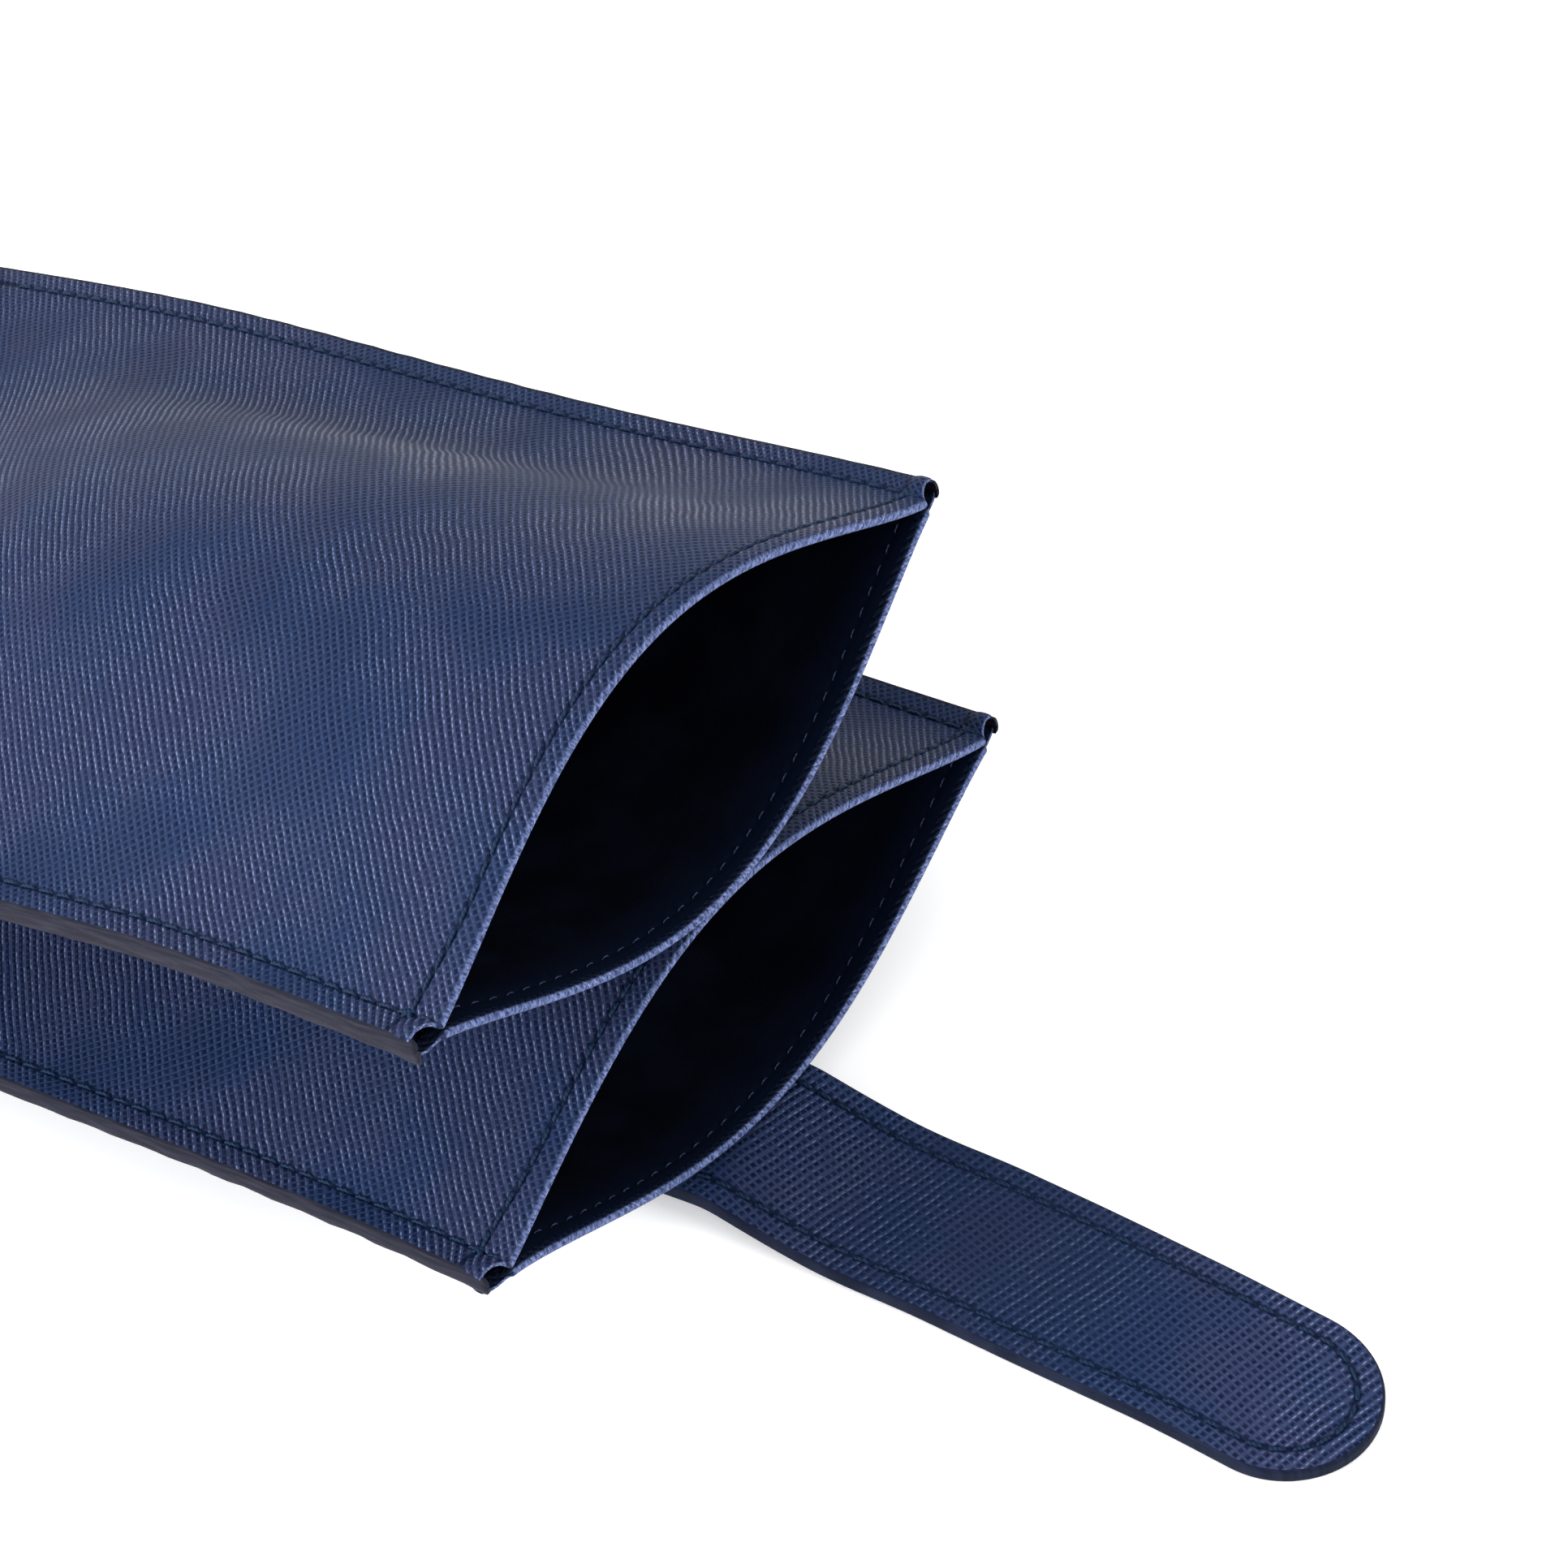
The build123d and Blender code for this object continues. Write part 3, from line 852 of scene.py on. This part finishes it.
def seam_masks(g):
    """Masks for painted light: where the rim is turned and painted lighter as a highlight,
    where the hem lies behind it and is painted darker as shade, and where stitching presses in
    and its groove is painted darker as shade.
    """
    rim, edge = g.split(g.uv("seam"))
    from_mouth = g.math("ABSOLUTE", g.math("SUBTRACT", rim, MOUTH_INSET))
    from_side = g.math("ABSOLUTE", g.math("SUBTRACT", edge, SIDE_INSET))
    # Painted shade along the stitch rows
    groove_shade = g.step(g.math("MINIMUM", from_mouth, from_side), 0.22, 0.62, 1.0, 0.0)
    # Painted highlight on the part of the turned rim that is coloured lighter
    turned = g.times(g.step(rim, -0.10, 0.48, 1.0, 0.0), g.step(rim, -1.0, -0.7))
    # Painted shade on the hem behind the rim
    hem = g.step(rim, -1.1, -0.75, 0.8, 0.0)
    return turned, hem, groove_shade


def saffiano(name, turn, pitch_x, pitch_y, wander, gain=1.0, shaded_stretch=None):
    """Pressed cross-hatch leather: two families of raised lines with small dents between,
    painted darker as shade.
    The last argument gives a stretch along the leather that is painted darker, as shade."""
    g = Graph(name)
    place = g.uv("grain")
    cell_x, cell_y = grain_cells(g, place, turn, pitch_x, pitch_y, wander)
    part_x, part_y = g.math("FRACT", cell_x), g.math("FRACT", cell_y)
    corner = g.node("CombineXYZ", X=g.math("ROUND", cell_x), Y=g.math("FLOOR", cell_y))
    chance = g.node("TexWhiteNoise", Vector=corner)
    pores = g.noise(place, 2.6, 3.0)
    fade = g.noise(place, 0.045, 1.0)
    blotch = g.noise(place, 0.05, 3.0)
    rim_dashes = g.noise(g.vector("MULTIPLY", place, (3.4, 1.3, 1.0)), 1.0, 2.0)
    ridge = grain_ridges(g, part_x, part_y, fade)
    glint = grain_glints(g, part_x, part_y, chance, pores, fade)
    turned, hem, groove_shade = seam_masks(g)

    # Painted highlight: the turned rim takes lighter copies of the leather colours
    rim_lit = g.times(turned, 0.8)
    # Painted light: gain above 1 gives a lighter copy of the same leather, used for the strap
    body = g.scaled(g.mix(g.step(blotch, 0.38, 0.62), BODY, BODY_WARM), gain)
    body = g.mix(rim_lit, body, RIM_BODY)
    # Painted highlights: bright dashes on some ridge crests
    with_highlights = g.mix(g.times(glint, 0.9), body, g.mix(rim_lit, GLINT, RIM_GLINT))
    # Painted shade: the dents are coloured darker, on the rim as well
    deep = g.times(g.step(ridge, 0.05, 0.62, 1.0, 0.0), g.plus(0.65, g.times(chance, 0.35)))
    colour = g.mix(deep, with_highlights, g.mix(rim_lit, DENT_SHADE, RIM_DENT))
    # Painted highlight: a line of bright dashes along the turned rim
    colour = g.mix(g.times(turned, g.step(rim_dashes, 0.42, 0.60, 0.10, 0.80)), colour, RIM_HIGHLIGHT)
    # Painted shade in the stitch grooves
    colour = g.mix(g.times(groove_shade, 0.85), colour, GROOVE_SHADE)
    # Painted shade on the hem behind the rim
    colour = g.mix(hem, colour, HEM_SHADE)
    # Painted shade: a stretch along the leather is coloured darker
    if shaded_stretch is not None:
        start, stop = shaded_stretch
        _, along = g.split(place)
        inside = g.step(along, start - 12, start + 8)
        inside = g.times(inside, g.step(along, stop - 8, stop + 12, 1.0, 0.0))
        colour = g.mix(g.times(inside, 0.45), colour, STRAP_SHADE)

    height = g.plus(g.times(ridge, 0.8), g.times(pores, 0.4))
    return g.finish(
        Base_Color=colour,
        Roughness=g.math("SUBTRACT", 0.58, g.times(ridge, 0.16)),
        Normal=g.bump(height, 0.00016),
        IOR=1.13,
        Specular_Tint=(0.66, 0.80, 1.0, 1.0),
    )


def edge_paint(name, colour, dark):
    """Thick paint on a cut edge, streaked along it."""
    g = Graph(name)
    place = g.uv("grain")
    stretched = g.vector("MULTIPLY", place, (1.6, 0.16, 1.0))
    streak = g.noise(stretched, 1.1, 3.0)
    speck = g.noise(place, 2.2, 2.0)
    tone = g.mix(g.step(streak, 0.35, 0.7), dark, colour)
    rough = g.plus(0.45, g.times(speck, 0.2))
    normal = g.bump(g.plus(streak, g.times(speck, 0.3)), 0.00007, 0.7)
    return g.finish(Base_Color=tone, Roughness=rough, Normal=normal, IOR=1.12)


def thread_material(name, colour, bright):
    """Twisted polyester: fine diagonal plies with a slight sheen."""
    g = Graph(name)
    place = g.node("TexCoord", 3)
    bands = {"wave_type": "BANDS", "bands_direction": "DIAGONAL"}
    twist = g.node("TexWave", 1, bands, Vector=place, Scale=900.0, Distortion=1.5)
    tone = g.mix(twist, colour, bright)
    normal = g.bump(twist, 0.00005, 0.6)
    return g.finish(Base_Color=tone, Roughness=0.6, Normal=normal, Specular_IOR_Level=0.15)


def suede(name):
    """Nearly black nap, a little lighter and bluer in the first few millimetres behind the rim."""
    g = Graph(name)
    place = g.uv("grain")
    nap = g.noise(place, 7.0, 3.0)
    brushed = g.noise(place, 0.12, 3.0)
    tone = g.mix(g.step(brushed, 0.35, 0.7), (0.0018, 0.0022, 0.0055), (0.0034, 0.0052, 0.0120))
    tone = g.mix(g.step(nap, 0.55, 0.8), tone, (0.0028, 0.0044, 0.0105))
    _, behind_rim = g.split(place)
    tone = g.mix(g.step(behind_rim, 1.5, 9.0, 1.0, 0.0), tone, (0.0030, 0.0065, 0.0185))
    normal = g.bump(nap, 0.00018, 0.8)
    return g.finish(Base_Color=tone, Roughness=0.95, Normal=normal, Specular_IOR_Level=0.02)


def plain_stuff(name, colour, other, rough, metallic):
    """Material of the hidden pieces: board fibre, suede or metal."""
    g = Graph(name)
    grain = g.noise(g.node("TexCoord", 3), 900.0, 4.0)
    tone = g.mix(grain, colour, other)
    normal = g.bump(grain, 0.00004, 0.5)
    return g.finish(Base_Color=tone, Roughness=rough, Metallic=metallic, Normal=normal)


# Carried-over CAD node, its material, the two colours, roughness and metallic share
HIDDEN = (
    ("spine_board", "bonded_board", (0.010, 0.012, 0.020), (0.020, 0.023, 0.034), 0.85, 0.0),
    ("spine_lining", "spine_suede", (0.0022, 0.0034, 0.008), (0.006, 0.009, 0.02), 0.95, 0.0),
    ("strap_magnet", "nickel", (0.62, 0.61, 0.58), (0.75, 0.74, 0.70), 0.28, 1.0),
    ("magnet_keeper", "steel", (0.50, 0.50, 0.51), (0.62, 0.62, 0.63), 0.38, 1.0),
)


def dress_hidden():
    for node, *look in HIDDEN:
        mesh = frame["nodes"][node].data
        mesh.materials.clear()
        mesh.materials.append(plain_stuff(*look))


# ---------------------------------------------------------------- camera, floor and light, metres
def place_camera():
    """Camera at the photograph's viewing angle, aimed at the corner line of the upper mouth."""
    heading, dip, roll = radians(37.175), radians(46.637), radians(-3.741)
    distance, aside, above = 0.5828, -0.0081, 0.002915
    right = Vector((cos(heading), sin(heading), 0))
    forward = Vector((-sin(heading) * cos(dip), cos(heading) * cos(dip), -sin(dip)))
    up = right.cross(forward)
    rolled_right = cos(roll) * right + sin(roll) * up
    rolled_up = cos(roll) * up - sin(roll) * right
    target = Vector(MOUNTS["upper_pocket"]["pos_m"])
    at = target - distance * forward - aside * rolled_right - above * rolled_up
    data = bpy.data.cameras.new("camera")
    data.sensor_width = 36
    data.lens = 129.068
    data.clip_start = 0.01
    camera = bpy.data.objects.new("camera", data)
    bpy.context.scene.collection.objects.link(camera)
    columns = Matrix((rolled_right, rolled_up, -forward)).transposed()
    camera.matrix_world = Matrix.Translation(at) @ columns.to_4x4()
    bpy.context.scene.camera = camera


def build_floor():
    """White table that runs out of sight, lifted to pure white by a faint glow."""
    reach = 60.0
    corners = [(-reach, -reach, 0), (reach, -reach, 0), (reach, reach, 0), (-reach, reach, 0)]
    mesh = bpy.data.meshes.new("floor")
    mesh.from_pydata(corners, [], [(0, 1, 2, 3)])
    g = Graph("white_table")
    spots = g.noise(g.node("TexCoord", 3), 3.0, 2.0)
    white = g.finish(
        Base_Color=g.mix(spots, (0.93, 0.93, 0.93), (0.95, 0.95, 0.95)),
        Roughness=0.9,
        Specular_IOR_Level=0.1,
        Emission_Color=(1, 1, 1),
        Emission_Strength=0.24,
    )
    mesh.materials.append(white)
    floor = bpy.data.objects.new("floor", mesh)
    bpy.context.scene.collection.objects.link(floor)


def build_world():
    """White surroundings, brightest overhead and towards -X."""
    world = bpy.data.worlds.new("studio")
    world.use_nodes = True
    tree = world.node_tree
    background = tree.nodes["Background"]
    sky = tree.nodes.new("ShaderNodeTexCoord")
    toward = tree.nodes.new("ShaderNodeVectorMath")
    toward.operation = "DOT_PRODUCT"
    toward.inputs[1].default_value = (-0.50, 0.0, 0.866)
    ramp = tree.nodes.new("ShaderNodeMapRange")
    for key, value in (("From Min", -0.5), ("From Max", 1.0), ("To Min", 0.38), ("To Max", 1.18)):
        ramp.inputs[key].default_value = value
    tree.links.new(sky.outputs["Generated"], toward.inputs[0])
    tree.links.new(toward.outputs["Value"], ramp.inputs["Value"])
    tree.links.new(ramp.outputs[0], background.inputs["Strength"])
    background.inputs["Color"].default_value = (1.0, 1.0, 1.0, 1)
    bpy.context.scene.world = world


# Name, place, point aimed at, size and power in watts of each soft light
LIGHTS = (
    ("back_strip", (-0.42, 0.90, 0.22), (-0.03, 0, 0.07), (1.0, 0.22), 0.5),
    ("left_box", (-0.75, -0.10, 0.80), (0, 0, 0.03), (0.55, 0.55), 4.5),
    ("near_box", (-0.46, -0.80, 0.36), (0, 0, 0.03), (0.6, 0.4), 13.0),
    ("side_box", (0.85, 0.20, 0.40), (0.02, 0, 0.03), (0.4, 0.4), 6.0),
)


def area_light(name, at, aim, size, energy):
    data = bpy.data.lights.new(name, "AREA")
    data.shape = "RECTANGLE"
    data.size, data.size_y = size
    data.energy = energy
    lamp = bpy.data.objects.new(name, data)
    bpy.context.scene.collection.objects.link(lamp)
    lamp.location = at
    lamp.rotation_euler = (Vector(aim) - Vector(at)).to_track_quat("-Z", "Y").to_euler()


def build_studio():
    build_floor()
    build_world()
    for light in LIGHTS:
        area_light(*light)
    bpy.context.scene.view_settings.view_transform = "Standard"


# ---------------------------------------------------------------- the whole thing
def main():
    sleeve_leather = saffiano("saffiano_sleeve", radians(50), 0.85, 0.80, 6.0)
    # The strap's copy of the leather is painted lighter (gain 1.3), as light
    strap_leather = saffiano("saffiano_strap", radians(73), 1.04, 0.84, 3.0, 1.3, (80, 116))
    paint = edge_paint("painted_edge", (0.021, 0.021, 0.033), (0.010, 0.011, 0.019))
    strap_paint = edge_paint("painted_strap_edge", (0.010, 0.014, 0.032), (0.005, 0.008, 0.020))
    thread = thread_material("navy_thread", (0.0012, 0.0062, 0.022), (0.0040, 0.023, 0.066))
    inner_thread = thread_material("inside_thread", (0.013, 0.021, 0.052), (0.036, 0.052, 0.115))
    lining = suede("dark_suede")

    for sleeve in (UPPER, LOWER):
        for side, face in FACES:
            panel_leather(sleeve, side, face, sleeve_leather)
            panel_lining(sleeve, side, face, lining)
        for hand, word in SIDES:
            droop = 0.6 if (sleeve is UPPER and hand < 0) else 0.0
            edge_band(sleeve, hand, word, droop, paint)
        sew_sleeve(sleeve, thread, inner_thread)
    build_spine(sleeve_leather, thread)
    build_strap({"upper": strap_leather, "edge": strap_paint, "under": strap_leather}, thread)
    dress_hidden()


place_camera()
build_studio()
main()
